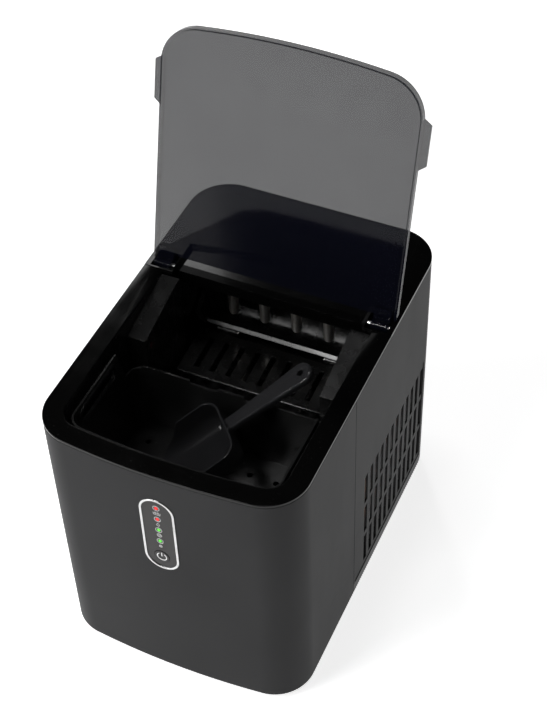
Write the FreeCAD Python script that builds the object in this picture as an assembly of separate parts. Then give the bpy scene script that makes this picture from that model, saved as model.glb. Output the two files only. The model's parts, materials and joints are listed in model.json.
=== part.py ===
import FreeCAD, Part
import os
from math import asin, atan2, cos, degrees, pi, radians, sin, sqrt

# Countertop ice maker with a see-through lid, an ice basket and a lift-out scoop.
# X runs to the right, Y to the back and Z up. The origin is on the worktop, under the middle of the body.

Vector = FreeCAD.Vector
os.makedirs("parts", exist_ok=True)

# Driving dimensions, in millimetres and degrees
body_width = 224.0
body_depth = 330.0
body_height = 266.0
front_radius = 36.0
rear_radius = 36.0
bow_radius = 750.0
wall = 2.2
seam_gap = 0.3
foot_height = 8.0
foot_radius = 11.0
foot_inset = 34.0
foot_stem_radius = 3.0
rim_thickness = 2.7
skirt_depth = 6.0
skirt_thickness = 1.6
opening_inset = 17.0
front_shell_length = 131.0
base_band = 11.0
base_thickness = 2.0
rear_space = 31.0

vent_rows = 3
vent_slot_width = 6.6
vent_slot_height = 35.0
vent_bridge = 6.0
vent_pitch = 12.1
vent_first = 24.0
vent_step_height = 149.0
vent_step_depth = 0.6
vent_bottom = 25.0

tank_wall = 2.0
tank_floor = 36.0
chute_length = 58.5
chute_fall = 6.0
chute_gap = 3.0
chamber_step = 9.0
chamber_length = 84.0
chamber_top_drop = 8.0
hood_drop = 12.0
hood_recess = 4.0
hood_recess_length = 33.0
foam_thickness = 9.0

basket_clearance = 5.0
basket_wall = 1.8
basket_depth = 108.0
basket_top_drop = 8.0
basket_back_depth = 72.0
basket_gap = 1.6
basket_step_back = 28.4
basket_rear_radius = 15.0
basket_seat = 8.0
ledge_front = 88.4
ledge_rear = 22.4
drain_hole_front = 100.4
grip_length = 56.0
grip_height = 13.0
grip_back = 61.4
grip_drop = 13.0

lid_thickness = 2.2
lid_edge_depth = 3.0
lid_edge_thickness = 2.2
lid_gap = 0.6
lid_overhang = 4.0
lid_side_inset = 1.6
lid_lean = 14.0
lid_tab_reach = 6.2
lid_tab_front = 185.0
lid_tab_length = 46.0
hinge_drop = 3.0
hinge_inset = 6.0
hinge_pin_radius = 2.0
hinge_barrel_radius = 4.5
hinge_barrel_length = 15.0
hinge_side_gap = 1.4
hinge_pocket_wall = 1.4
hinge_pocket_length = 20.4
running_clearance = 0.05

tray_axis_back = 16.0
tray_axis_drop = 34.0
tray_side_gap = 4.0
tray_span = 66.0
tray_depth = 38.0
tray_wall = 1.8
tray_front_radius = 16.0
tray_rear_radius = 26.0
tray_rest_tilt = 40.0
tray_shaft_radius = 4.0
bush_radius = 6.0
flap_hinge_reach = 3.6
flap_hinge_drop = 6.0
flap_length = 56.0
flap_side_gap = 3.0
flap_rest_tilt = 5.0
flap_pin_radius = 1.5

finger_setback = 22.5
finger_row_pitch = 30.0
finger_margin = 22.0
finger_radius = 5.2
finger_length = 36.0
evaporator_drop = 20.0
evaporator_tube_radius = 4.0

rail_width = 17.0
rail_setback = 17.0
rail_height = 93.3
rail_front_drop = 17.0
sensor_inset = 10.0
sensor_drop = 30.0
sensor_radius = 3.0

nozzle_back = 56.0
nozzle_drop = 23.0
nozzle_radius = 3.4
nozzle_reach = 14.0
pump_side = 38.0
pump_setback = 25.0
pump_radius = 15.0
pump_height = 34.0
pump_base_z = 20.0
pump_inlet_z = 46.0
hose_radius = 3.4
drain_x = 16.0
drain_z = 42.0
drain_radius = 7.0
gland_side = 56.0
gland_z = 34.0
gland_radius = 6.0
gland_bore = 3.6

panel_width = 30.6
panel_height = 87.0
panel_z = 194.0
panel_ring_width = 2.2
panel_ring_stand = 0.8
led_radius = 1.5
led_heights = (227.0, 213.5, 200.0, 186.0)
button_z = 166.0
button_radius = 6.6
button_travel = 0.8
board_depth = 6.6
switch_height = 2.9

fan_size = 92.0
fan_gap = 28.0
fan_back = 99.0
fan_z = 88.0
compressor_radius = 46.0
compressor_side = 70.0
compressor_height = 104.0
compressor_back = 29.0
compressor_port_z = 58.0
condenser_inset = 16.0
condenser_setback = 23.0
condenser_passes = 7
condenser_pitch = 17.0
condenser_z0 = 30.0
condenser_tube_radius = 3.0
condenser_fins = 22
drier_x = 30.0
drier_bottom = 66.0
drier_top = 120.0
valve_side = 54.0
valve_bottom = 150.0
pipe_radius = 2.4

scoop_blade_length = 78.0
scoop_blade_width = 62.0
scoop_blade_height = 30.0
scoop_corner = 14.0
scoop_lip = 5.0
scoop_mouth_length = 40.0
scoop_wall = 1.8
scoop_handle_length = 84.0
scoop_handle_width = 20.0
scoop_neck_width = 13.0
scoop_neck_length = 12.0
scoop_handle_thickness = 7.0
scoop_handle_round = 2.4
scoop_handle_height = 20.0
scoop_heading = 46.0
scoop_tip_side = 110.0
scoop_tip_gap = 1.2
scoop_rest_gap = 5.0
scoop_front_gap = 46.0

# Places that follow from the driving dimensions
front_y = -body_depth / 2
back_y = body_depth / 2
half_width = body_width / 2
rim_bottom = body_height - rim_thickness
shell_top = rim_bottom - seam_gap
seam_y = front_y + front_shell_length
side_back_y = back_y - rear_radius + 1.0
base_z = foot_height
band_top = base_z + base_band
vent_room = side_back_y - seam_y - vent_first - vent_slot_width
vent_columns = int(vent_room / vent_pitch) + 1
opening_half = half_width - opening_inset
chamber_half_width = opening_half - chamber_step
chamber_back_y = back_y - rear_space
hinge_y = chamber_back_y - chamber_length
hood_y = hinge_y - 2.5
frame_back_y = hood_y - 7.5
tank_back_y = hood_y - chute_length
hinge_z = body_height - hinge_drop
hinge_x = half_width - hinge_inset
pocket_front = frame_back_y + 1.6
pocket_rear = pocket_front + hinge_pocket_length
pocket_outer = hinge_x + hinge_side_gap
pocket_inner = chamber_half_width + hinge_pocket_wall
lid_rear_y = hinge_y - 6.0
lid_bottom = body_height + lid_gap
tray_axis_y = chamber_back_y - tray_axis_back
tray_axis_z = body_height - tray_axis_drop
tray_half_width = chamber_half_width - tray_side_gap
tray_lean = radians(tray_rest_tilt)
tray_drop = (tray_span - tray_front_radius) * sin(tray_lean) + tray_front_radius \
    + (tray_depth - tray_front_radius) * cos(tray_lean)
chute_rear_z = tray_axis_z - tray_drop - chute_gap
chute_front_z = chute_rear_z - chute_fall
finger_front_y = hood_y + finger_setback
finger_pitch = (tray_half_width - finger_margin) / 2
evaporator_z = body_height - evaporator_drop
finger_tip_z = evaporator_z - evaporator_tube_radius - finger_length
rail_front_y = tank_back_y - rail_setback
rail_inner = opening_half - rail_width
rail_bottom = rim_bottom - rail_height
rail_front_top = body_height - rail_front_drop
scoop_tip_x = rail_inner - scoop_tip_side
sensor_y = rail_front_y + sensor_inset
sensor_z = body_height - sensor_drop
flap_half_width = rail_inner - flap_side_gap
basket_top = body_height - basket_top_drop
basket_floor = basket_top - basket_depth
basket_back_top = basket_floor + basket_back_depth
basket_back_y = rail_front_y - basket_gap
basket_step_y = basket_back_y - basket_step_back
grip_y = basket_back_y - grip_back
grip_z = basket_top - grip_drop
nozzle_y = chamber_back_y - nozzle_back
nozzle_z = body_height - nozzle_drop
pump_y = tank_back_y + pump_setback
pipes_y = chamber_back_y + 14.0
lines_y = chamber_back_y + tank_wall + 8.0
compressor_y = back_y - compressor_back - compressor_radius
compressor_x = compressor_side - half_width
gland_x = half_width - gland_side
pump_x = pump_side - half_width
valve_x = half_width - valve_side
condenser_x = half_width - condenser_inset
fan_y = back_y - fan_back
fan_x = condenser_x - fan_gap
panel_y = front_y + 0.15


def box(x0, x1, y0, y1, z0, z1):
    return Part.makeBox(x1 - x0, y1 - y0, z1 - z0, Vector(x0, y0, z0))


def rod(start, direction, radius, length):
    return Part.makeCylinder(radius, length, Vector(*start), Vector(*direction))


def joined(shapes):
    result = shapes[0]
    for shape in shapes[1:]:
        result = result.fuse(shape)
    return result.removeSplitter()


def less(shape, tools):
    return shape.cut(Part.makeCompound(tools)).removeSplitter()


def body_outline(inset):
    # Plan of the body: bowed front, rounded corners, straight sides and back, moved in by inset.
    half = half_width - inset
    back = back_y - inset
    front = front_y + inset
    corner = max(front_radius - inset, 1.0)
    rear = max(rear_radius - inset, 1.0)
    bow = bow_radius - inset
    corner_x = half - corner
    bow_centre_y = front + bow
    corner_y = bow_centre_y - sqrt((bow - corner) ** 2 - corner_x ** 2)
    lean = asin(corner_x / (bow - corner))
    touch_x = bow * sin(lean)
    touch_y = bow_centre_y - bow * cos(lean)
    middle = (lean + pi / 2) / 2
    mid_x = corner_x + corner * sin(middle)
    mid_y = corner_y - corner * cos(middle)
    rear_mid = rear * (1 - cos(pi / 4))
    right = [
        Part.Arc(Vector(touch_x, touch_y, 0), Vector(mid_x, mid_y, 0), Vector(half, corner_y, 0)),
        Part.LineSegment(Vector(half, corner_y, 0), Vector(half, back - rear, 0)),
        Part.Arc(Vector(half, back - rear, 0), Vector(half - rear_mid, back - rear_mid, 0),
                 Vector(half - rear, back, 0)),
    ]
    left = [
        Part.Arc(Vector(rear - half, back, 0), Vector(rear_mid - half, back - rear_mid, 0),
                 Vector(-half, back - rear, 0)),
        Part.LineSegment(Vector(-half, back - rear, 0), Vector(-half, corner_y, 0)),
        Part.Arc(Vector(-half, corner_y, 0), Vector(-mid_x, mid_y, 0), Vector(-touch_x, touch_y, 0)),
    ]
    front_arc = Part.Arc(Vector(-touch_x, touch_y, 0), Vector(0, front, 0), Vector(touch_x, touch_y, 0))
    back_line = Part.LineSegment(Vector(half - rear, back, 0), Vector(rear - half, back, 0))
    edges = [front_arc] + right + [back_line] + left
    return Part.Wire([edge.toShape() for edge in edges])


def prism(inset, z0, z1):
    solid = Part.Face(body_outline(inset)).extrude(Vector(0, 0, z1 - z0))
    solid.translate(Vector(0, 0, z0))
    return solid


def between(shape, y0, y1):
    return shape.common(box(-body_width, body_width, y0, y1, -body_height, 3 * body_height))


def outline_ring(outer, inner, z0, z1):
    return prism(outer, z0, z1).cut(prism(inner, z0 - 1, z1 + 1))


def rounded_box(x0, x1, y0, y1, z0, z1, radius):
    solid = box(x0, x1, y0, y1, z0, z1)
    upright = [edge for edge in solid.Edges if abs(edge.BoundBox.ZLength - (z1 - z0)) < 1e-6]
    return solid.makeFillet(radius, upright)


def stadium_y(width, height, x, z, y0, y1):
    # Upright stadium seen from the front, running from y0 to y1.
    radius = width / 2
    reach = height / 2 - radius
    middle = box(x - radius, x + radius, y0, y1, z - reach, z + reach)
    top = rod((x, y0, z + reach), (0, 1, 0), radius, y1 - y0)
    low = rod((x, y0, z - reach), (0, 1, 0), radius, y1 - y0)
    return joined([middle, top, low])


def stadium_x(length, height, y, z, x0, x1):
    # Lying stadium seen from the side, running from x0 to x1.
    radius = height / 2
    reach = length / 2 - radius
    middle = box(x0, x1, y - reach, y + reach, z - radius, z + radius)
    ends = [rod((x0, y + side * reach, z), (1, 0, 0), radius, x1 - x0) for side in (-1, 1)]
    return joined([middle] + ends)


def along_x(points, x0, x1):
    # Prism along X of a polygon of (y, z) points.
    wire = Part.makePolygon([Vector(x0, y, z) for y, z in points + points[:1]])
    return Part.Face(wire).extrude(Vector(x1 - x0, 0, 0))


def pipe(points, radius, bend):
    # Tube made of straight runs joined by tangent arcs, as one solid.
    corners = [Vector(*point) for point in points]
    edges = []
    start = corners[0]
    for here, after in zip(corners[1:-1], corners[2:]):
        incoming = (here - start).normalize()
        outgoing = (after - here).normalize()
        turn = incoming.getAngle(outgoing)
        setback = bend * sin(turn / 2) / cos(turn / 2)
        enter = here - incoming * setback
        leave = here + outgoing * setback
        inward = (outgoing - incoming).normalize()
        reach = bend / cos(turn / 2) - bend
        edges.append(Part.LineSegment(start, enter).toShape())
        edges.append(Part.Arc(enter, here + inward * reach, leave).toShape())
        start = leave
    edges.append(Part.LineSegment(start, corners[-1]).toShape())
    first = (corners[1] - corners[0]).normalize()
    ring = Part.Wire(Part.makeCircle(radius, corners[0], first))
    return Part.Wire(edges).makePipeShell([ring], True, True)


def save(name, shape):
    solids = shape.Solids
    whole = solids[0] if len(solids) == 1 else Part.makeCompound(solids)
    whole.exportStep("parts/" + name + ".step")
    print(name, len(solids), whole.isValid(), round(whole.Volume))


# Casing


def make_base_plate():
    floor = prism(wall, base_z, base_z + base_thickness)
    rear = between(prism(0, base_z, base_z + base_thickness), seam_y + seam_gap, back_y)
    band = between(outline_ring(0, wall, base_z, band_top), seam_y + seam_gap, back_y)
    plate = joined([floor, rear, band])
    bores = [rod((x, y, 0), (0, 0, 1), foot_stem_radius, 2 * band_top) for x, y in foot_places()]
    return less(plate, bores)


def foot_places():
    x = half_width - foot_inset
    return [(-x, front_y + foot_inset), (x, front_y + foot_inset),
            (-x, back_y - foot_inset), (x, back_y - foot_inset)]


def make_foot(x, y):
    pad = Part.makeCone(foot_radius - 1.5, foot_radius, foot_height, Vector(x, y, 0))
    stem = rod((x, y, foot_height), (0, 0, 1), foot_stem_radius, base_thickness)
    collar = rod((x, y, base_z + base_thickness), (0, 0, 1), foot_stem_radius + 1.5, 1.5)
    return joined([pad, stem, collar])


def make_front_shell():
    shell = between(outline_ring(0, wall, base_z, shell_top), front_y - 1, seam_y)
    window = stadium_y(panel_width, panel_height, 0, panel_z, front_y - 2, front_y + 6)
    return less(shell, [window])


def vent_slots(x0, x1):
    slots = []
    for row in range(vent_rows):
        z = vent_bottom + row * (vent_slot_height + vent_bridge)
        for column in range(vent_columns):
            y = seam_y + vent_first + column * vent_pitch
            slots.append(box(x0, x1, y, y + vent_slot_width, z, z + vent_slot_height))
    return slots


def make_side_panel(side):
    outer = side * half_width
    inner = side * (half_width - wall)
    low, high = min(outer, inner), max(outer, inner)
    panel = box(low, high, seam_y + seam_gap, side_back_y, band_top + seam_gap, shell_top)
    skin = side * (half_width - vent_step_depth)
    recess = box(min(skin, 2 * outer), max(skin, 2 * outer), seam_y + vent_first / 8, back_y,
                 base_z, vent_step_height)
    return less(panel, [recess] + vent_slots(low - 1, high + 1))


def make_back_panel():
    ring = outline_ring(0, wall, band_top + seam_gap, shell_top)
    panel = between(ring, side_back_y + seam_gap, back_y + 1)
    holes = [rod((gland_x, back_y - 8, gland_z), (0, 1, 0), gland_radius + 0.1, 16),
             rod((drain_x, back_y - 8, drain_z), (0, 1, 0), drain_radius + 1.2, 16)]
    holes += [rod((x, back_y - 8, z), (0, 1, 0), 1.6, 16) for x, z in back_screw_places()]
    return less(panel, holes)


def back_screw_places():
    low = band_top + 12
    high = shell_top - 14
    x = half_width - rear_radius - 4
    return [(-x, low), (x, low), (-x, high), (x, high)]


def make_back_screws():
    screws = []
    for x, z in back_screw_places():
        head = Part.makeCone(3.4, 2.4, 1.8, Vector(x, back_y, z), Vector(0, 1, 0))
        shank = rod((x, back_y - 9, z), (0, 1, 0), 1.5, 9)
        slot = box(x - 2, x + 2, back_y + 1, back_y + 3, z - 0.4, z + 0.4)
        cross = box(x - 0.4, x + 0.4, back_y + 1, back_y + 3, z - 2, z + 2)
        screws.append(less(joined([head, shank]), [slot, cross]))
    return Part.makeCompound(screws)


def make_top_frame():
    # Gloss rim round the ice opening. Its inner edge falls away towards the hinges.
    rim = outline_ring(0, opening_inset, rim_bottom, body_height)
    skirt = outline_ring(wall, wall + skirt_thickness, rim_bottom - skirt_depth, rim_bottom)
    rim = between(rim.fuse(skirt), front_y - 1, frame_back_y)
    low_edge = body_height - 1.6
    facets = []
    for side in (-1, 1):
        tip = Vector(side * opening_half, frame_back_y - 80, body_height)
        rear = frame_back_y + 1
        points = [tip, Vector(side * opening_half, rear, low_edge),
                  Vector(side * (opening_half + 9), rear, body_height),
                  Vector(side * opening_half, rear, body_height)]
        faces = [Part.Face(Part.makePolygon([points[a], points[b], points[c], points[a]]))
                 for a, b, c in ((0, 1, 2), (0, 2, 3), (0, 3, 1), (1, 3, 2))]
        facets.append(Part.makeSolid(Part.makeShell(faces)))
    return less(rim, facets)


def hinge_pocket(side, grow):
    low = min(side * (pocket_inner - grow), side * (pocket_outer + grow))
    high = max(side * (pocket_inner - grow), side * (pocket_outer + grow))
    floor = hinge_z - hinge_barrel_radius - 3.5
    top = body_height + 5 if grow == 0 else rim_bottom + 0.5
    return box(low, high, pocket_front - grow, pocket_rear + grow, floor - grow, top)


def recess_wire(spread, z):
    x = chamber_half_width - 3 + spread
    rear = hood_y + hood_recess_length - 6 + spread
    bow = rear + 9
    edges = [
        Part.LineSegment(Vector(-x, rear, z), Vector(-x, hood_y - 5, z)),
        Part.LineSegment(Vector(-x, hood_y - 5, z), Vector(x, hood_y - 5, z)),
        Part.LineSegment(Vector(x, hood_y - 5, z), Vector(x, rear, z)),
        Part.Arc(Vector(x, rear, z), Vector(0, bow, z), Vector(-x, rear, z)),
    ]
    return Part.Wire([edge.toShape() for edge in edges])


def make_rear_cover():
    # Gloss cover over the rear, with a shallow recess where the lid's back edge turns down.
    skirt = outline_ring(wall, wall + skirt_thickness, rim_bottom - skirt_depth, rim_bottom)
    plate = between(prism(0, rim_bottom, body_height).fuse(skirt), frame_back_y + seam_gap, back_y)
    mouth = box(-chamber_half_width, chamber_half_width, frame_back_y - 5, hood_y, 0, body_height + 5)
    recess_floor = body_height - hood_recess
    pan_bottom = recess_floor - 2.0
    pan = box(-chamber_half_width, chamber_half_width, hood_y, hood_y + hood_recess_length + 8,
              pan_bottom, rim_bottom + 0.5)
    lip = box(-chamber_half_width, chamber_half_width, hood_y, hood_y + 2,
              pan_bottom - hood_drop + 2, pan_bottom + 1)
    cups = [hinge_pocket(side, hinge_pocket_wall) for side in (-1, 1)]
    cover = joined([plate, pan, lip] + cups)
    recess = Part.makeLoft([recess_wire(0, recess_floor), recess_wire(4, body_height + 0.001)], True, True)
    pockets = [hinge_pocket(side, 0) for side in (-1, 1)]
    cover = less(cover, [mouth, recess] + pockets)
    return less(cover, [hinge_pin(side) for side in (-1, 1)])


def hinge_pin(side):
    start = pocket_inner - hinge_pocket_wall + 0.5
    end = pocket_outer + hinge_pocket_wall - 0.3
    return rod((side * start, hinge_y, hinge_z), (side, 0, 0), hinge_pin_radius, end - start)


def make_hinge_pins():
    return Part.makeCompound([hinge_pin(side) for side in (-1, 1)])


# Lid, drawn shut and then turned open about its hinge


def lid_at_rest(shape):
    shape.rotate(Vector(0, hinge_y, hinge_z), Vector(1, 0, 0), -(90 + lid_lean))
    return shape


def make_lid_panel():
    plate_bottom = lid_bottom + lid_edge_depth
    top = plate_bottom + lid_thickness
    plate = prism(lid_side_inset, plate_bottom, top)
    edge_ring = outline_ring(lid_side_inset, lid_side_inset + lid_edge_thickness, lid_bottom,
                             plate_bottom + 0.5)
    shell = joined([plate, edge_ring])
    shell.translate(Vector(0, -lid_overhang - lid_side_inset, 0))
    shell = between(shell, front_y - 20, lid_rear_y)
    tab_y = hinge_y - lid_tab_front
    tabs = []
    for side in (-1, 1):
        edge = side * (half_width - 8)
        reach = side * (half_width - lid_side_inset + lid_tab_reach)
        points = [Vector(edge, tab_y - 3, plate_bottom), Vector(reach, tab_y + 5, plate_bottom),
                  Vector(reach, tab_y + lid_tab_length - 7, plate_bottom),
                  Vector(edge, tab_y + lid_tab_length + 3, plate_bottom)]
        face = Part.Face(Part.makePolygon(points + points[:1]))
        tabs.append(face.extrude(Vector(0, 0, lid_thickness)))
    ears = []
    inner = hinge_x - hinge_barrel_length
    for side in (-1, 1):
        low = min(side * inner, side * hinge_x)
        high = max(side * inner, side * hinge_x)
        ears.append(rod((side * inner, hinge_y, hinge_z), (side, 0, 0), hinge_barrel_radius,
                        hinge_barrel_length))
        ears.append(box(low, high, hinge_y - 7.5, hinge_y + 0.5, hinge_z + 2, top))
        ears.append(box(low, high, lid_rear_y - 8, hinge_y + 3, lid_bottom, top))
    lid = joined([shell] + tabs + ears)
    bores = [rod((side * (inner - 1), hinge_y, hinge_z), (side, 0, 0),
                 hinge_pin_radius + running_clearance, hinge_barrel_length + 2) for side in (-1, 1)]
    return lid_at_rest(less(lid, bores))


# Ice compartment


def make_water_tank():
    outer_inset = opening_inset - tank_wall
    deep_outer = between(prism(outer_inset, tank_floor - tank_wall, rim_bottom),
                         front_y, tank_back_y + tank_wall)
    step_y = hinge_y
    wide = opening_half + tank_wall
    narrow = chamber_half_width + tank_wall
    rear_top = body_height - chamber_top_drop
    low_front = chute_front_z
    low_rear = chute_rear_z
    mid_outer = along_x([(tank_back_y, low_front - tank_wall), (step_y + tank_wall, low_rear - tank_wall),
                         (step_y + tank_wall, rim_bottom), (tank_back_y, rim_bottom)],
                        -wide, wide)
    rear_outer = box(-narrow, narrow, step_y, chamber_back_y + tank_wall, low_rear - tank_wall, rear_top)
    deep = between(prism(opening_inset, tank_floor, body_height), front_y, tank_back_y)
    middle = along_x([(tank_back_y - 1, low_front), (step_y, low_rear), (step_y, body_height),
                      (tank_back_y - 1, body_height)], -opening_half, opening_half)
    rear = box(-chamber_half_width, chamber_half_width, step_y - 1, chamber_back_y, low_rear, body_height)
    hood_room = box(-body_width, body_width, hood_y - 0.3, chamber_back_y + 5,
                    body_height - hood_recess - hood_drop - 2.2, body_height)
    rear_room = box(-body_width, body_width, step_y + tank_wall + 0.1, chamber_back_y + 5,
                    rear_top, body_height)
    hinge_room = [hinge_pocket(side, hinge_pocket_wall + 0.3) for side in (-1, 1)]
    ledges = []
    for side in (-1, 1):
        for y in (basket_back_y - ledge_front, basket_back_y - ledge_rear):
            low = min(side * (opening_half - 7), side * (opening_half + 1))
            high = max(side * (opening_half - 7), side * (opening_half + 1))
            ledges.append(box(low, high, y, y + 10, basket_floor - basket_seat, basket_floor))
    tank = less(joined([deep_outer, mid_outer, rear_outer]), [deep, middle, rear])
    tank = joined([tank] + ledges)
    shaft_bores = [rod((side * (chamber_half_width - 2), tray_axis_y, tray_axis_z), (side, 0, 0),
                       bush_radius, 6) for side in (-1, 1)]
    inlet = rod((-chamber_half_width - 6, nozzle_y, nozzle_z), (1, 0, 0), nozzle_radius, 12)
    drain = rod((drain_x, tank_back_y - 2, drain_z), (0, 1, 0), drain_radius, 8)
    suction = rod((pump_x, tank_back_y - 2, pump_inlet_z), (0, 1, 0), 4.0, 8)
    tubes = [rod((x, chamber_back_y - 2, evaporator_z), (0, 1, 0), evaporator_tube_radius + 0.6, 8)
             for x in evaporator_ends()]
    front_room = box(-body_width, body_width, hood_y - 0.3, step_y + tank_wall, hinge_z - 12, body_height)
    return less(tank, [hood_room.common(front_room), rear_room, inlet, drain, suction]
                + hinge_room + shaft_bores + tubes)


def make_tank_foam():
    inner = opening_inset - tank_wall
    outer = inner - foam_thickness
    ring = outline_ring(outer, inner, base_z + 20, shell_top - 6)
    jacket = between(ring, front_y, tank_back_y - 2)
    room = box(-panel_width / 2 - 2, panel_width / 2 + 2, front_y, front_y + 40,
               panel_z - panel_height / 2 - 4, panel_z + panel_height / 2 + 4)
    return less(jacket, [room])


def make_basket():
    inset = opening_inset + basket_clearance
    outer = between(prism(inset, basket_floor, basket_top), front_y, basket_back_y)
    half = half_width - inset
    plan = rounded_box(-half, half, front_y - 40, basket_back_y, basket_floor, basket_top,
                       basket_rear_radius)
    outer = outer.common(plan)
    inner = between(prism(inset + basket_wall, basket_floor + basket_wall, body_height), front_y,
                    basket_back_y - basket_wall)
    plan = rounded_box(basket_wall - half, half - basket_wall, front_y - 40, basket_back_y - basket_wall,
                       basket_floor, body_height, basket_rear_radius - basket_wall)
    inner = inner.common(plan)
    step = along_x([(basket_step_y, basket_top + 1), (basket_step_y + 10, basket_back_top),
                    (basket_back_y + 5, basket_back_top), (basket_back_y + 5, basket_top + 1)],
                   -half - 5, half + 5)
    frames = [stadium_x(grip_length + 7, grip_height + 7, grip_y, grip_z,
                        min(side * (half - 3), side * (half - 1)), max(side * (half - 3), side * (half - 1)))
              for side in (-1, 1)]
    basket = joined([less(outer, [inner, step])] + frames)
    grips = [stadium_x(grip_length, grip_height, grip_y, grip_z, min(side * (half - 8), side * (half + 5)),
                       max(side * (half - 8), side * (half + 5))) for side in (-1, 1)]
    notches = [box(side * 25 - 13, side * 25 + 13, basket_back_y - 5, basket_back_y + 5,
                   basket_back_top - 3.5, basket_back_top + 1) for side in (-1, 1)]
    holes = []
    for column in range(-3, 4):
        for row in range(4):
            y = basket_back_y - drain_hole_front + row * 26
            holes.append(rod((column * 24, y, basket_floor - 1), (0, 0, 1), 2.5, 5))
    return less(basket, grips + notches + holes)


def make_rail(side):
    # Sloping housing on the tank's inner wall that carries the ice-full sensor.
    outer = side * opening_half
    inner = side * rail_inner
    low, high = min(outer, inner), max(outer, inner)
    rear = frame_back_y - 2
    block = along_x([(rail_front_y, rail_bottom), (rear, rail_bottom), (rear, rim_bottom - 0.6),
                     (rear - 5, rim_bottom - 0.6), (rail_front_y, rail_front_top)], low, high)
    skin_inner = side * (rail_inner + 1.6)
    room_low = min(skin_inner, side * (opening_half + 5))
    room_high = max(skin_inner, side * (opening_half + 5))
    room = along_x([(rail_front_y + 1.6, rail_bottom - 5), (rear - 1.6, rail_bottom - 5),
                    (rear - 1.6, rim_bottom - 3), (rear - 5, rim_bottom - 3),
                    (rail_front_y + 1.6, rail_front_top - 2.4)], room_low, room_high)
    eye = rod((side * (rail_inner - 2), sensor_y, sensor_z), (side, 0, 0), sensor_radius, 6)
    return less(block, [room, eye])


def make_sensor(side):
    lens = rod((side * (rail_inner + 6), sensor_y, sensor_z), (-side, 0, 0), sensor_radius - 0.05, 5.8)
    collar = rod((side * (rail_inner + 1.6), sensor_y, sensor_z), (side, 0, 0), sensor_radius + 1, 4)
    return joined([lens, collar])


# Evaporator, water tray and ice flap


def evaporator_ends():
    return (chamber_half_width - 8, chamber_half_width - 20)


def make_evaporator_tube():
    first, last = evaporator_ends()
    back = chamber_back_y + tank_wall + 8
    rear_row = finger_front_y + finger_row_pitch
    left = -chamber_half_width + 12
    z = evaporator_z
    route = [(first, back, z), (first, finger_front_y, z), (left, finger_front_y, z),
             (left, rear_row, z), (last, rear_row, z), (last, back, z)]
    return pipe(route, evaporator_tube_radius, 9.0)


def finger_places():
    front = [((column - 1.5) * finger_pitch, finger_front_y) for column in range(4)]
    rear = [((column - 2) * finger_pitch, finger_front_y + finger_row_pitch) for column in range(5)]
    return front + rear


def make_fingers():
    top = evaporator_z - evaporator_tube_radius
    fingers = []
    for x, y in finger_places():
        taper = Part.makeCone(finger_radius - 0.9, finger_radius, top - finger_tip_z - 4,
                              Vector(x, y, finger_tip_z + 4))
        tip = Part.makeSphere(finger_radius - 0.9, Vector(x, y, finger_tip_z + 4))
        fingers.append(joined([taper, tip]))
    return Part.makeCompound(fingers)


def make_evaporator_bracket():
    z = evaporator_z + evaporator_tube_radius
    plate = box(-chamber_half_width, chamber_half_width, finger_front_y - 4,
                finger_front_y + finger_row_pitch + 12, z, z + 2.4)
    holes = [box(x - 9, x + 9, finger_front_y + 7, finger_front_y + 23, z - 1, z + 4)
             for x in (-60, -20, 20, 60)]
    return less(plate, holes)


def tray_at_rest(shape):
    shape.rotate(Vector(0, tray_axis_y, tray_axis_z), Vector(1, 0, 0), tray_rest_tilt)
    return shape


def tray_profile(inset):
    # Cross-section of the trough in its level place, with wide arcs at the two lower corners.
    front = tray_axis_y - tray_span + inset
    rear = tray_axis_y - 2 - inset
    top = tray_axis_z
    bottom = tray_axis_z - tray_depth + inset
    small = tray_front_radius - inset
    large = tray_rear_radius - inset
    cut = 1 - cos(pi / 4)
    edges = [
        Part.LineSegment(Vector(0, front, top), Vector(0, front, bottom + small)),
        Part.Arc(Vector(0, front, bottom + small), Vector(0, front + small * cut, bottom + small * cut),
                 Vector(0, front + small, bottom)),
        Part.LineSegment(Vector(0, front + small, bottom), Vector(0, rear - large, bottom)),
        Part.Arc(Vector(0, rear - large, bottom), Vector(0, rear - large * cut, bottom + large * cut),
                 Vector(0, rear, bottom + large)),
        Part.LineSegment(Vector(0, rear, bottom + large), Vector(0, rear, top)),
        Part.LineSegment(Vector(0, rear, top), Vector(0, front, top)),
    ]
    return Part.Wire([edge.toShape() for edge in edges])


def tray_block(inset, lift):
    half = tray_half_width - inset
    long = Part.Face(tray_profile(inset)).extrude(Vector(2 * half, 0, 0))
    long.translate(Vector(-half, 0, lift))
    plan = rounded_box(-half, half, tray_axis_y - tray_span + inset, tray_axis_y - 2 - inset,
                       tray_axis_z - tray_depth - 5, tray_axis_z + 5, 8.0 - inset)
    return long.common(plan)


def flap_hinge():
    # Place of the flap's hinge on the level tray: y, z.
    return tray_axis_y - tray_span - flap_hinge_reach, tray_axis_z - flap_hinge_drop


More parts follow.
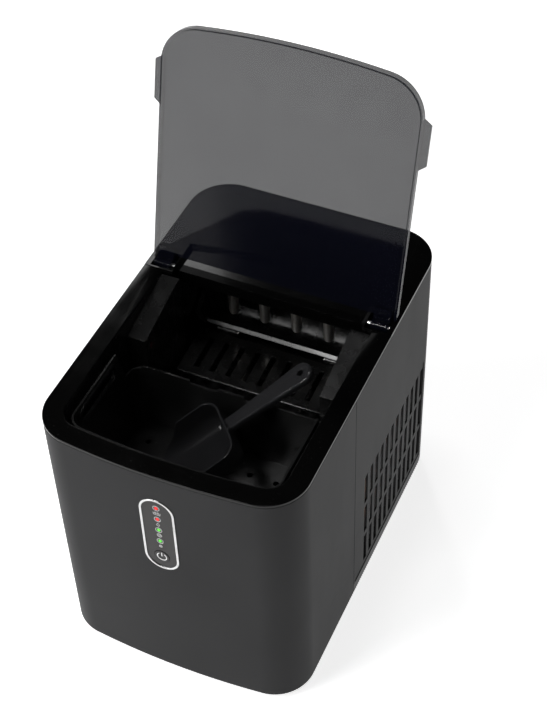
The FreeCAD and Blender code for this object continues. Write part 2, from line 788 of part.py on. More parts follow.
def make_water_tray():
    outer = tray_block(0, 0)
    inner = tray_block(tray_wall, 0.5)
    inner = joined([inner, tray_block(tray_wall, 0)])
    front = tray_axis_y - tray_span
    flange = rounded_box(-tray_half_width - 2, tray_half_width + 2, front - 2, tray_axis_y - 8,
                         tray_axis_z - 1.5, tray_axis_z, 8.0)
    stubs = []
    for side in (-1, 1):
        start = side * (tray_half_width - 1)
        stubs.append(rod((start, tray_axis_y, tray_axis_z), (side, 0, 0), 7.0, 3.0))
        stubs.append(rod((start, tray_axis_y, tray_axis_z), (side, 0, 0), tray_shaft_radius,
                         chamber_half_width + 9 - tray_half_width))
        web = box(min(start, start + side * 2), max(start, start + side * 2), tray_axis_y - 16,
                  tray_axis_y, tray_axis_z - 12, tray_axis_z)
        stubs.append(web)
    hinge_y_level, hinge_z_level = flap_hinge()
    knuckles = []
    for side in (-1, 1):
        for x in (42.0, 56.0):
            low = min(side * x, side * (x + 5))
            knuckles.append(rod((low, hinge_y_level, hinge_z_level), (1, 0, 0), 3.0, 5))
            knuckles.append(box(low, low + 5, hinge_y_level, front + 1,
                                hinge_z_level - 2, hinge_z_level + 2))
    tray = joined([outer, flange] + stubs + knuckles)
    bore = rod((-body_width, hinge_y_level, hinge_z_level), (1, 0, 0), flap_pin_radius, 2 * body_width)
    tray = less(tray, [inner, bore])
    return tray_at_rest(tray)


def make_flap_pins():
    y, z = flap_hinge()
    pins = [rod((min(side * 41, side * 62), y, z), (1, 0, 0), flap_pin_radius, 21) for side in (-1, 1)]
    return tray_at_rest(Part.makeCompound(pins))


def make_ice_flap():
    # Comb plate hinged on the tray's front edge. It lies forward towards the basket.
    y, z = flap_hinge()
    away_y = (y - tray_axis_y) * cos(tray_lean) - (z - tray_axis_z) * sin(tray_lean)
    away_z = (y - tray_axis_y) * sin(tray_lean) + (z - tray_axis_z) * cos(tray_lean)
    y = tray_axis_y + away_y
    z = tray_axis_z + away_z
    plate = box(-flap_half_width, flap_half_width, y - flap_length, y - 5.5, z - 1, z + 1)
    slots = [box(x - 2.5, x + 2.5, y - flap_length + 8, y - 14, z - 3, z + 3)
             for x in range(-60, 61, 15)]
    edge = rod((-flap_half_width, y - flap_length, z), (1, 0, 0), 1.6, 2 * flap_half_width)
    plate = less(plate, slots)
    arms = []
    for side in (-1, 1):
        low = min(side * 47.4, side * 55.6)
        arms.append(rod((low, y, z), (1, 0, 0), 3.0, 8.2))
        arms.append(box(low, low + 8.2, y - 8, y, z - 1.2, z + 1.2))
    flap = joined([plate, edge] + arms)
    bore = rod((-body_width, y, z), (1, 0, 0), flap_pin_radius + running_clearance, 2 * body_width)
    flap = less(flap, [bore])
    flap.rotate(Vector(0, y, z), Vector(1, 0, 0), flap_rest_tilt)
    return flap


def make_tray_bush(side):
    start = side * (chamber_half_width - 1)
    flange = rod((start, tray_axis_y, tray_axis_z), (side, 0, 0), bush_radius + 2, 0.8)
    sleeve = rod((start, tray_axis_y, tray_axis_z), (side, 0, 0), bush_radius, tank_wall + 1)
    bore = rod((start - side * 2, tray_axis_y, tray_axis_z), (side, 0, 0),
               tray_shaft_radius + running_clearance, 12)
    return less(joined([flange, sleeve]), [bore])


def make_tray_motor():
    start = -(chamber_half_width + tank_wall)
    can = rod((start, tray_axis_y, tray_axis_z), (-1, 0, 0), 20.0, 17.0)
    ears = box(start - 1.6, start, tray_axis_y - 4, tray_axis_y + 4, tray_axis_z - 27, tray_axis_z + 22)
    bore = rod((start + 2, tray_axis_y, tray_axis_z), (-1, 0, 0), tray_shaft_radius + running_clearance, 12)
    return less(joined([can, ears]), [bore])


def make_water_nozzle():
    start = -(chamber_half_width + tank_wall + 7)
    tube = rod((start, nozzle_y, nozzle_z), (1, 0, 0), nozzle_radius, nozzle_reach)
    collar = rod((-(chamber_half_width + tank_wall), nozzle_y, nozzle_z), (-1, 0, 0),
                 nozzle_radius + 1.8, 1.4)
    bore = rod((start - 1, nozzle_y, nozzle_z), (1, 0, 0), nozzle_radius - 1.2, 20)
    return less(joined([tube, collar]), [bore])


# Water pump and drain


def make_pump_body():
    z0 = pump_base_z
    can = rod((pump_x, pump_y, z0), (0, 0, 1), pump_radius, pump_height)
    chamber = rod((pump_x, pump_y, z0 + pump_height - 14), (0, 0, 1), pump_radius - 2.5, 11.5)
    feet = box(pump_x - 20, pump_x + 20, pump_y - 5, pump_y + 5, base_z + base_thickness, z0 + 1)
    inlet_length = pump_y - tank_back_y - tank_wall - 0.5
    inlet = rod((pump_x, pump_y, pump_inlet_z), (0, -1, 0), 4.4, inlet_length)
    spout = rod((pump_x - pump_radius + 3, pump_y + 8, pump_inlet_z), (-1, 0, 0), hose_radius, 6)
    body = joined([can, feet, inlet, spout])
    bores = [chamber, rod((pump_x, pump_y, pump_inlet_z), (0, -1, 0), 2.6, inlet_length + 5),
             rod((pump_x, pump_y + 8, pump_inlet_z), (-1, 0, 0), 2.2, 40)]
    shaft = rod((pump_x, pump_y, z0 + 8), (0, 0, 1), 1.5 + running_clearance, 20)
    return less(body, bores + [shaft])


def make_pump_impeller():
    z0 = pump_base_z + pump_height - 13
    hub = rod((pump_x, pump_y, z0), (0, 0, 1), 3.5, 9)
    shaft = rod((pump_x, pump_y, pump_base_z + 9), (0, 0, 1), 1.5, z0 - pump_base_z - 9 + 2)
    disc = rod((pump_x, pump_y, z0), (0, 0, 1), 10.5, 1.2)
    blades = []
    for turn in range(5):
        blade = box(pump_x + 2, pump_x + 10.3, pump_y - 0.6, pump_y + 0.6, z0, z0 + 8)
        blade.rotate(Vector(pump_x, pump_y, 0), Vector(0, 0, 1), turn * 72)
        blades.append(blade)
    return joined([hub, shaft, disc] + blades)


def make_water_hose():
    x = -(opening_half + tank_wall + 6.2)
    spout_x = pump_x - pump_radius - 3
    y = pump_y + 8
    end = -(chamber_half_width + tank_wall + 7)
    route = [(spout_x, y, pump_inlet_z), (x, y, pump_inlet_z), (x, y, 150), (x, nozzle_y, nozzle_z - 24),
             (x, nozzle_y, nozzle_z), (end, nozzle_y, nozzle_z)]
    return pipe(route, hose_radius, 4.5)


def make_drain_spout():
    start = tank_back_y + 0.2
    length = back_y - start
    tube = rod((drain_x, start, drain_z), (0, 1, 0), drain_radius, length)
    collar = rod((drain_x, back_y - wall - 2.5, drain_z), (0, 1, 0), drain_radius + 3, 2.5)
    bore = rod((drain_x, start - 1, drain_z), (0, 1, 0), drain_radius - 2, length + 5)
    return less(joined([tube, collar]), [bore])


def make_drain_plug():
    face = back_y + 0.4
    cap = rod((drain_x, face, drain_z), (0, 1, 0), drain_radius + 2, 2.2)
    stem = rod((drain_x, face - 14, drain_z), (0, 1, 0), drain_radius - 2.4, 14)
    grip = box(drain_x - 1.5, drain_x + 1.5, face + 2, face + 4.6, drain_z - 7, drain_z + 7)
    return joined([cap, stem, grip])


# Cooling circuit


def make_compressor():
    z0 = base_z + base_thickness + 8.5
    can = rod((compressor_x, compressor_y, z0), (0, 0, 1), compressor_radius, compressor_height)
    can = can.makeFillet(16.0, [edge for edge in can.Edges if edge.Curve.TypeId == "Part::GeomCircle"])
    band = rod((compressor_x, compressor_y, z0 + compressor_height / 2), (0, 0, 1),
               compressor_radius + 1.5, 4)
    side_port = rod((compressor_x + compressor_radius - 4, compressor_y, compressor_port_z + 20),
                    (1, 0, 0), 3.2, 14)
    rear_port = rod((compressor_x, compressor_y + compressor_radius - 4, compressor_port_z),
                    (0, 1, 0), 4.0, 12)
    return joined([can, band, side_port, rear_port])


def mount_places():
    reach = compressor_radius + 4
    return [(compressor_x + reach * cos(angle), compressor_y + reach * sin(angle))
            for angle in (pi / 6, 5 * pi / 6, 3 * pi / 2)]


def make_compressor_base():
    z = base_z + base_thickness + 6
    plate = rod((compressor_x, compressor_y, z), (0, 0, 1), 34, 2.5)
    arms = [rod((x, y, z), (0, 0, 1), 10, 2.5) for x, y in mount_places()]
    for x, y in mount_places():
        heading = degrees(atan2(y - compressor_y, x - compressor_x))
        arm = box(compressor_x, compressor_x + compressor_radius + 4, compressor_y - 10, compressor_y + 10,
                  z, z + 2.5)
        arm.rotate(Vector(compressor_x, compressor_y, z), Vector(0, 0, 1), heading)
        arms.append(arm)
    bores = [rod((x, y, z - 1), (0, 0, 1), 5.0, 5) for x, y in mount_places()]
    return less(joined([plate] + arms), bores)


def make_rubber_mounts():
    z = base_z + base_thickness
    mounts = []
    for x, y in mount_places():
        low = rod((x, y, z), (0, 0, 1), 7.5, 6.0)
        neck = rod((x, y, z), (0, 0, 1), 4.9, 10.5)
        cap = rod((x, y, z + 8.5), (0, 0, 1), 6.2, 2.0)
        bore = rod((x, y, z - 1), (0, 0, 1), 2.6, 14)
        mounts.append(less(joined([low, neck, cap]), [bore]))
    return Part.makeCompound(mounts)


def make_mount_bolts():
    z = base_z + base_thickness
    bolts = []
    for x, y in mount_places():
        shank = rod((x, y, z), (0, 0, 1), 2.5, 11)
        head = rod((x, y, z + 10.5), (0, 0, 1), 5.0, 2.5)
        bolts.append(joined([shank, head]))
    return Part.makeCompound(bolts)


def condenser_span():
    return tank_back_y + condenser_setback, tray_axis_y


def make_condenser_tube():
    # Passes back and forth through the fins, then runs across to the filter drier.
    y0, y1 = condenser_span()
    ends = (y0 - 9, y1 + 9)
    route = [(condenser_x, y0 - 4, condenser_z0)]
    for index in range(condenser_passes - 1):
        turn_y = ends[(index + 1) % 2]
        z = condenser_z0 + index * condenser_pitch
        route.append((condenser_x, turn_y, z))
        route.append((condenser_x, turn_y, z + condenser_pitch))
    z = condenser_z0 + (condenser_passes - 1) * condenser_pitch
    route += [(condenser_x, pipes_y, z), (drier_x, pipes_y, z), (drier_x, pipes_y, drier_top)]
    return pipe(route, condenser_tube_radius, condenser_pitch / 2 - 0.4)


def make_condenser_fins():
    y0, y1 = condenser_span()
    low = condenser_z0 - 8
    high = condenser_z0 + (condenser_passes - 1) * condenser_pitch + 8
    sheet = box(condenser_x - 10, condenser_x + 10, y0, y0 + 0.6, low, high)
    holes = [rod((condenser_x, y0 - 1, condenser_z0 + index * condenser_pitch), (0, 1, 0),
                 condenser_tube_radius, 3) for index in range(condenser_passes)]
    sheet = less(sheet, holes)
    fins = []
    for index in range(condenser_fins):
        fin = sheet.copy()
        fin.translate(Vector(0, index * (y1 - y0 - 0.6) / (condenser_fins - 1), 0))
        fins.append(fin)
    return Part.makeCompound(fins)


def make_fan_frame():
    half = fan_size / 2
    frame = box(fan_x, fan_x + 16, fan_y - half, fan_y + half, fan_z - half, fan_z + half)
    throat = rod((fan_x - 1, fan_y, fan_z), (1, 0, 0), half - 4, 20)
    frame = less(frame, [throat])
    spokes = [box(fan_x, fan_x + 2, fan_y - half + 2, fan_y + half - 2, fan_z - 2, fan_z + 2),
              box(fan_x, fan_x + 2, fan_y - 2, fan_y + 2, fan_z - half + 2, fan_z + half - 2)]
    seat = rod((fan_x, fan_y, fan_z), (1, 0, 0), 19, 2)
    bore = rod((fan_x - 1, fan_y, fan_z), (1, 0, 0), 5, 5)
    legs = [box(fan_x, fan_x + 16, fan_y + side * 30 - 5, fan_y + side * 30 + 5,
                base_z + base_thickness, fan_z - half + 1) for side in (-1, 1)]
    holes = [rod((fan_x - 1, fan_y + side * (half - 6), fan_z + lift * (half - 6)), (1, 0, 0), 1.9, 20)
             for side in (-1, 1) for lift in (-1, 1)]
    return less(joined([frame, seat] + spokes + legs), [bore] + holes)


def make_fan_motor():
    can = rod((fan_x - 16, fan_y, fan_z), (1, 0, 0), 17, 16)
    bore = rod((fan_x - 14, fan_y, fan_z), (1, 0, 0), 1.5 + running_clearance, 30)
    return less(can, [bore])


def make_fan_rotor():
    shaft = rod((fan_x - 12, fan_y, fan_z), (1, 0, 0), 1.5, 16)
    hub = rod((fan_x + 3.5, fan_y, fan_z), (1, 0, 0), 15, 11)
    blades = []
    length = fan_size / 2 - 6.5
    for turn in range(7):
        blade = box(fan_x + 8.4, fan_x + 9.6, fan_y + 10, fan_y + length, fan_z - 11, fan_z + 11)
        blade.rotate(Vector(fan_x + 9, fan_y, fan_z), Vector(0, 1, 0), 66)
        blade.rotate(Vector(fan_x, fan_y, fan_z), Vector(1, 0, 0), turn * 360 / 7)
        blades.append(blade)
    tip = rod((fan_x + 3.2, fan_y, fan_z), (1, 0, 0), length, 12)
    return joined([shaft, hub] + [blade.common(tip) for blade in blades])


def make_filter_drier():
    body = rod((drier_x, pipes_y, drier_bottom), (0, 0, 1), 9, drier_top - drier_bottom)
    return body.makeFillet(5.0, [edge for edge in body.Edges if edge.Curve.TypeId == "Part::GeomCircle"])


def make_gas_valve():
    x, y, z = valve_x, pipes_y, valve_bottom
    body = rod((x, y, z), (0, 0, 1), 7, 17)
    coil = box(x - 11, x + 11, y - 9, y + 9, z + 16.5, z + 38)
    core = rod((x, y, z + 10), (0, 0, 1), 4, 34)
    return joined([body, coil, core])


def make_discharge_line():
    # Hot line from the compressor to the condenser's lower end, with a branch up to the gas valve.
    port_x = compressor_x + compressor_radius + 10
    port_z = compressor_port_z + 20
    run_x = port_x + 14
    end_y = condenser_span()[0] - 4
    run_y = end_y - 9
    main = pipe([(port_x, compressor_y, port_z), (run_x, compressor_y, port_z), (run_x, run_y, port_z),
                 (run_x, run_y, condenser_z0), (condenser_x, run_y, condenser_z0),
                 (condenser_x, end_y, condenser_z0)], pipe_radius, 7.0)
    branch_y = compressor_y - 30
    under = valve_bottom - 8
    branch = pipe([(run_x, branch_y, port_z), (run_x, branch_y, under), (valve_x, branch_y, under),
                   (valve_x, pipes_y, under), (valve_x, pipes_y, valve_bottom)], pipe_radius, 6.0)
    return joined([main, branch])


def make_suction_line():
    # Cold line from the evaporator down behind the ice compartment and back to the compressor.
    first = evaporator_ends()[0]
    back = lines_y + 11
    route = [(first, lines_y, evaporator_z), (first, back, evaporator_z), (first, back, compressor_port_z),
             (compressor_x, back, compressor_port_z),
             (compressor_x, compressor_y + compressor_radius + 8, compressor_port_z)]
    return pipe(route, 3.0, 7.0)


def make_feed_line():
    # Line from the gas valve up to the evaporator, joined by the thin capillary from the filter drier.
    last = evaporator_ends()[1]
    back = lines_y + 6
    valve_top = valve_bottom + 44
    feed = pipe([(last, lines_y, evaporator_z), (last, back, evaporator_z), (last, back, valve_top + 10),
                 (valve_x, back, valve_top + 10)], pipe_radius, 4.0)
    drop = pipe([(valve_x, pipes_y, valve_top), (valve_x, pipes_y, valve_top + 10),
                 (last, pipes_y, valve_top + 10)],
                pipe_radius, 4.0)
    capillary = pipe([(drier_x, pipes_y, drier_bottom), (drier_x, pipes_y, drier_bottom - 5),
                      (drier_x - 18, pipes_y, drier_bottom - 5), (drier_x - 18, pipes_y, valve_top + 30),
                      (last, back, valve_top + 30)], 1.0, 2.5)
    return joined([feed, drop, capillary])


# Controls


def make_panel_ring():
    y0 = panel_y - panel_ring_stand
    outer = stadium_y(panel_width - 0.2, panel_height - 0.2, 0, panel_z, y0, panel_y + 2.6)
    inner = stadium_y(panel_width - 2 * panel_ring_width, panel_height - 2 * panel_ring_width, 0, panel_z,
                      y0 - 1, panel_y + 4)
    return less(outer, [inner])


def make_panel_plate():
    width = panel_width - 2 * panel_ring_width - 0.1
    height = panel_height - 2 * panel_ring_width - 0.1
    plate = stadium_y(width, height, 0, panel_z, panel_y, panel_y + 2)
    back = stadium_y(width + 8, height + 8, 0, panel_z, panel_y + 2.6, panel_y + 4)
    neck = stadium_y(width, height, 0, panel_z, panel_y + 1, panel_y + 2.8)
    posts = [rod((x, panel_y + 3, z), (0, 1, 0), 2.4, board_depth - 3) for x, z in board_screws()]
    holes = [rod((0, panel_y - 1, z), (0, 1, 0), led_radius + 0.05, 10) for z in led_heights]
    holes.append(rod((0, panel_y - 1, button_z), (0, 1, 0), button_radius + 0.35, 10))
    return less(joined([plate, back, neck] + posts), holes)


def board_screws():
    return [(x, panel_z + z) for x in (-9.0, 9.0) for z in (-36.0, 36.0)]


def make_leds(heights):
    leds = []
    for z in heights:
        stem = rod((0, panel_y - 0.3, z), (0, 1, 0), led_radius, board_depth)
        base = rod((0, panel_y + 4.4, z), (0, 1, 0), led_radius + 0.9, board_depth - 4.4)
        leds.append(joined([stem, base]))
    return Part.makeCompound(leds)


def make_display_board():
    y0 = panel_y + board_depth
    board = box(-12.5, 12.5, y0, y0 + 1.6, panel_z - 41, panel_z + 41)
    holes = [rod((x, y0 - 1, z), (0, 1, 0), 1.2, 4) for x, z in board_screws()]
    chips = [box(-7, 7, y0 + 1.5, y0 + 4, panel_z - 8, panel_z + 6),
             box(-5, 5, y0 + 1.5, y0 + 6, panel_z + 16, panel_z + 24)]
    return less(joined([board] + chips), holes)


def make_power_switch():
    y0 = panel_y + board_depth
    body = box(-3, 3, y0 - 2.2, y0, button_z - 3, button_z + 3)
    plunger = rod((0, y0 - switch_height, button_z), (0, 1, 0), 1.6, 1.0)
    return joined([body, plunger])


def make_power_button():
    cap = rod((0, panel_y - 0.35, button_z), (0, 1, 0), button_radius, 2.3)
    stem_end = panel_y + board_depth - switch_height - button_travel - 0.3
    stem = rod((0, panel_y, button_z), (0, 1, 0), 2.0, stem_end - panel_y)
    dish = Part.makeSphere(40.0, Vector(0, panel_y - 0.35 - 39.7, button_z))
    return less(joined([cap, stem]), [dish])


def make_control_board():
    x0 = -chamber_half_width + 6
    y0 = chamber_back_y + tank_wall + 6
    board = box(x0, x0 + 74, y0, y0 + 1.6, 176, 250)
    parts = [box(x0 + 6, x0 + 30, y0 + 1.5, y0 + 15, 182, 206),
             box(x0 + 36, x0 + 52, y0 + 1.5, y0 + 12, 182, 196),
             box(x0 + 6, x0 + 22, y0 + 1.5, y0 + 13, 214, 236),
             box(x0 + 34, x0 + 66, y0 + 1.5, y0 + 7, 216, 226)]
    pillars = [rod((x, chamber_back_y + tank_wall, z), (0, 1, 0), 2.5, 7) for x in (x0 + 4, x0 + 70)
               for z in (180, 246)]
    return joined([board] + parts + pillars)


def make_cord_gland():
    flange = rod((gland_x, back_y, gland_z), (0, 1, 0), gland_radius + 3, 2)
    neck = Part.makeCone(gland_radius, gland_radius - 1.0, 3.2, Vector(gland_x, back_y + 1.8, gland_z),
                         Vector(0, 1, 0))
    inside = rod((gland_x, back_y - wall - 5, gland_z), (0, 1, 0), gland_radius, wall + 5)
    nut = rod((gland_x, back_y - wall - 3.5, gland_z), (0, 1, 0), gland_radius + 3, 3.5)
    bore = rod((gland_x, back_y - 20, gland_z), (0, 1, 0), gland_bore, 50)
    return less(joined([flange, neck, inside, nut]), [bore])


# Scoop, drawn flat along X from its tip and then leaned against the basket's back wall


def scoop_bowl(inset, height):
    bowl = box(inset, scoop_blade_length - inset, inset - scoop_blade_width / 2,
               scoop_blade_width / 2 - inset, inset, height)
    rounded = []
    for edge in bowl.Edges:
        limits = edge.BoundBox
        at_back = limits.XMin > scoop_blade_length / 2
        at_bottom = limits.ZMax < height / 2
        at_side = limits.YMin > 0 or limits.YMax < 0
        if at_bottom and (at_side or at_back) or at_back and at_side:
            rounded.append(edge)
    return bowl.makeFillet(scoop_corner - inset, rounded)


def scoop_mouth():
    half = scoop_blade_width
    top = scoop_blade_height + 1
    side = Part.Wire([
        Part.LineSegment(Vector(-5, -half, scoop_lip), Vector(scoop_lip, -half, scoop_lip)).toShape(),
        Part.Arc(Vector(scoop_lip, -half, scoop_lip), Vector(scoop_mouth_length * 0.62, -half, top * 0.46),
                 Vector(scoop_mouth_length, -half, top)).toShape(),
        Part.LineSegment(Vector(scoop_mouth_length, -half, top), Vector(-5, -half, top)).toShape(),
        Part.LineSegment(Vector(-5, -half, top), Vector(-5, -half, scoop_lip)).toShape(),
    ])
    return Part.Face(side).extrude(Vector(0, 2 * half, 0))


def scoop_handle():
    low = scoop_handle_height
    start = scoop_blade_length - scoop_wall
    end = scoop_blade_length + scoop_handle_length
    neck = scoop_neck_width / 2
    wide = scoop_handle_width / 2
    outline = Part.makePolygon([
        Vector(start, -neck, low), Vector(start + scoop_neck_length, -neck, low),
        Vector(end - wide, -wide, low), Vector(end - wide, wide, low),
        Vector(start + scoop_neck_length, neck, low), Vector(start, neck, low), Vector(start, -neck, low)])
    grip = Part.Face(outline).extrude(Vector(0, 0, scoop_handle_thickness))
    tip = rod((end - wide, 0, low), (0, 0, 1), wide, scoop_handle_thickness)
    handle = joined([grip, tip])
    edges = [edge for edge in handle.Edges
             if edge.BoundBox.ZLength < 0.01 and edge.BoundBox.XMax > start + 1]
    return handle.makeFillet(scoop_handle_round, edges)


def make_scoop():
    end = scoop_blade_length + scoop_handle_length
    inner = scoop_bowl(scoop_wall, scoop_blade_height + 5)
    open_front = inner.copy()
    open_front.translate(Vector(-scoop_wall - 1, 0, 0))
    hang_hole = rod((end - scoop_handle_width / 2, 0, 0), (0, 0, 1), 3.0, 60)
    scoop = less(joined([scoop_bowl(0, scoop_blade_height), scoop_handle()]),
                 [inner, open_front, scoop_mouth(), hang_hole])
    return scoop_at_rest(scoop)


def scoop_at_rest(shape):
    inside_back = basket_back_y - basket_wall
    tip_y = front_y + opening_inset + basket_clearance + basket_wall + scoop_front_gap
    tip_z = basket_floor + basket_wall + scoop_tip_gap
    run = (inside_back - tip_y) / cos(radians(scoop_heading))
    rise = basket_back_top + scoop_rest_gap - tip_z
    rest = scoop_handle_height / sqrt(run ** 2 + rise ** 2)
    tilt = atan2(rise, run) - asin(rest)
    shape.rotate(Vector(0, 0, 0), Vector(0, 1, 0), -degrees(tilt))
    shape.rotate(Vector(0, 0, 0), Vector(0, 0, 1), 90 - scoop_heading)
    shape.translate(Vector(scoop_tip_x, tip_y, tip_z))
    return shape


# Every sub-part is written to its own file

save("base_plate", make_base_plate())
foot_names = ("foot_front_left", "foot_front_right", "foot_rear_left", "foot_rear_right")
for foot_name, (foot_x, foot_y) in zip(foot_names, foot_places()):
    save(foot_name, make_foot(foot_x, foot_y))
save("front_shell", make_front_shell())
save("left_side_panel", make_side_panel(-1))
save("right_side_panel", make_side_panel(1))
save("back_panel", make_back_panel())
save("back_panel_screws", make_back_screws())
save("top_frame", make_top_frame())
save("rear_cover", make_rear_cover())
save("lid_hinge_pins", make_hinge_pins())
save("lid_panel", make_lid_panel())
save("water_tank", make_water_tank())
save("tank_insulation", make_tank_foam())
save("ice_basket", make_basket())
save("left_sensor_rail", make_rail(-1))
save("right_sensor_rail", make_rail(1))
save("ice_sensor_emitter", make_sensor(-1))
save("ice_sensor_receiver", make_sensor(1))
save("evaporator_tube", make_evaporator_tube())
save("freezing_fingers", make_fingers())
save("evaporator_bracket", make_evaporator_bracket())
save("water_tray", make_water_tray())
save("flap_hinge_pins", make_flap_pins())
save("ice_flap", make_ice_flap())
save("left_tray_bush", make_tray_bush(-1))
save("right_tray_bush", make_tray_bush(1))
save("tray_gear_motor", make_tray_motor())
save("water_nozzle", make_water_nozzle())
save("pump_body", make_pump_body())
save("pump_impeller", make_pump_impeller())
save("water_hose", make_water_hose())
save("drain_spout", make_drain_spout())
save("drain_plug", make_drain_plug())
save("compressor", make_compressor())
save("compressor_base", make_compressor_base())
save("rubber_mounts", make_rubber_mounts())
save("mount_bolts", make_mount_bolts())
save("condenser_tube", make_condenser_tube())
save("condenser_fins", make_condenser_fins())
save("fan_frame", make_fan_frame())
save("fan_motor", make_fan_motor())
save("fan_rotor", make_fan_rotor())
save("filter_drier", make_filter_drier())
save("hot_gas_valve", make_gas_valve())
save("discharge_line", make_discharge_line())
save("suction_line", make_suction_line())
save("feed_line", make_feed_line())
save("panel_ring", make_panel_ring())
save("panel_plate", make_panel_plate())
save("warning_leds", make_leds(led_heights[:2]))
save("ready_leds", make_leds(led_heights[2:]))
save("display_board", make_display_board())
save("power_switch", make_power_switch())
save("power_button", make_power_button())
save("control_board", make_control_board())
save("cord_gland", make_cord_gland())
save("scoop", make_scoop())
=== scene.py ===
import json
from math import cos, pi, radians, sin

import bmesh
import bpy
from mathutils import Matrix, Vector
from mathutils.bvhtree import BVHTree


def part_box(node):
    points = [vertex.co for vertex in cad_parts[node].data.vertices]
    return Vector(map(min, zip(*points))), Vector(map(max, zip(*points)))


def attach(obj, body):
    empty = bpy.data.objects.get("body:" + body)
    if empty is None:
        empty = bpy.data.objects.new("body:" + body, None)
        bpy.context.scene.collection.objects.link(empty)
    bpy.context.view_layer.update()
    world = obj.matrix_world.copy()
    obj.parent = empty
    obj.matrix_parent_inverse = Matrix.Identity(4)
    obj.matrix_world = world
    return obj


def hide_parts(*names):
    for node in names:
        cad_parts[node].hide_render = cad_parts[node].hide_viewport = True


# A countertop ice maker, lid up, with its scoop leaning in the basket. Lengths are in metres.
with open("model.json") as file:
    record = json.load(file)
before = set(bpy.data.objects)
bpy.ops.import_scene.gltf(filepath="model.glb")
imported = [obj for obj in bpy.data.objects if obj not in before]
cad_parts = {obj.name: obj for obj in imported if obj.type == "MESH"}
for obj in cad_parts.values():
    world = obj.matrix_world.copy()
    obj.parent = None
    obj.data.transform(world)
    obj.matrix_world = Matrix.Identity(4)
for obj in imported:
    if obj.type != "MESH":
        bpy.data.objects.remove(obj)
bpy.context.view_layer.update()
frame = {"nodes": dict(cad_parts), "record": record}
print("frame loaded")


camera = {
    "azimuth": 25.74,  # degrees round from the front, towards the right side
    "height": 46.41,  # degrees above the worktop
    "roll": -2.27,
    "distance": 1.30335,
    "target": (0.02116, 0.01021, 0.23037),
    "lens": 78.68,
}


def placeCamera(look):
    turn, rise, roll = radians(look["azimuth"]), radians(look["height"]), radians(look["roll"])
    back = Vector((sin(turn) * cos(rise), -cos(turn) * cos(rise), sin(rise)))
    level = Vector((cos(turn), sin(turn), 0))
    upright = back.cross(level)
    right = cos(roll) * level + sin(roll) * upright
    up = cos(roll) * upright - sin(roll) * level
    lens = bpy.data.cameras.new("camera")
    lens.lens = look["lens"]
    lens.clip_start = 0.05
    lens.clip_end = 60
    rig = bpy.data.objects.new("camera", lens)
    turned = Matrix((right, up, back)).transposed().to_4x4()
    rig.matrix_world = Matrix.Translation(Vector(look["target"]) + look["distance"] * back) @ turned
    bpy.context.scene.collection.objects.link(rig)
    bpy.context.scene.camera = rig


softboxes = {
    "windowLeft": {"place": (-1.7, -1.5, 1.2), "size": (1.3, 1.6), "power": 34},
    "windowRight": {"place": (1.6, -1.6, 1.6), "size": (0.8, 1.2), "power": 0.8},
    "overhead": {"place": (-0.2, 0.2, 2.6), "size": (0.5, 0.3), "power": 7},
    "edgeStrip": {"place": (-1.2, 1.9, 1.3), "size": (0.25, 1.6), "power": 7},
    "openingLight": {"place": (-0.25, -0.55, 1.15), "size": (0.25, 0.25), "power": 3.2},
}


def hangSoftbox(name, look):
    lamp = bpy.data.lights.new(name, "AREA")
    lamp.shape = "RECTANGLE"
    lamp.size, lamp.size_y = look["size"]
    lamp.energy = look["power"]
    hung = bpy.data.objects.new(name, lamp)
    hung.location = look["place"]
    aim = Vector((0, 0, 0.2)) - Vector(look["place"])
    hung.rotation_euler = aim.to_track_quat("-Z", "Y").to_euler()
    bpy.context.scene.collection.objects.link(hung)


placeCamera(camera)
for name, look in softboxes.items():
    hangSoftbox(name, look)
bpy.context.scene.view_settings.view_transform = "Standard"
print("camera and lights placed")


class Shade:  # one socket of a finish; sums and products of sockets add their Math nodes
    def __init__(self, tree, socket=None):
        self.tree = tree
        self.socket = socket

    def node(self, kind, settings=None, values=None, out=0):
        made = self.tree.nodes.new(kind)
        for name, value in (settings or {}).items():
            setattr(made, name, value)
        for name, value in (values or {}).items():
            if isinstance(value, Shade):
                self.tree.links.new(value.socket, made.inputs[name])
            else:
                made.inputs[name].default_value = value
        return Shade(self.tree, made.outputs[out] if made.outputs else None)

    def math(self, operation, first, second):
        return self.node("ShaderNodeMath", {"operation": operation}, {0: first, 1: second})

    def __add__(self, other):
        return self.math("ADD", self, other)

    __radd__ = __add__

    def __sub__(self, other):
        return self.math("SUBTRACT", self, other)

    def __rsub__(self, other):
        return self.math("SUBTRACT", other, self)

    def __mul__(self, other):
        return self.math("MULTIPLY", self, other)

    __rmul__ = __mul__


def newFinish(name):
    finish = bpy.data.materials.new(name)
    finish.use_nodes = True
    finish.node_tree.nodes.clear()
    start = Shade(finish.node_tree)
    return finish, start.node("ShaderNodeTexCoord", out="Object")


def grain(place, size, detail=2, stretch=(1, 1, 1)):  # cloudy values about this many metres apart
    stretched = place.node("ShaderNodeMapping", None, {"Vector": place, "Scale": stretch})
    return place.node("ShaderNodeTexNoise", None, {"Vector": stretched, "Scale": 1 / size, "Detail": detail})


def between(value, low, high):  # 0 below low, 1 above high
    return value.node("ShaderNodeMapRange", None, {"Value": value, "From Min": low, "From Max": high})


def blend(mask, first, second):
    return mask.node("ShaderNodeMix", {"data_type": "RGBA"}, {0: mask, 6: first, 7: second}, 2)


def relief(height, depth):  # a bump that many metres deep
    return height.node("ShaderNodeBump", None, {"Strength": 1.0, "Distance": depth, "Height": height})


def facingUp(place):
    normal = place.node("ShaderNodeNewGeometry", out="Normal")
    parts = place.node("ShaderNodeSeparateXYZ", None, {"Vector": normal}, "Z")
    return between(parts, 0.5, 1.0)


def shadeWith(place, values):
    shader = place.node("ShaderNodeBsdfPrincipled", None, values)
    place.node("ShaderNodeOutputMaterial", None, {"Surface": shader})


dustTone = (0.4, 0.39, 0.37, 1)


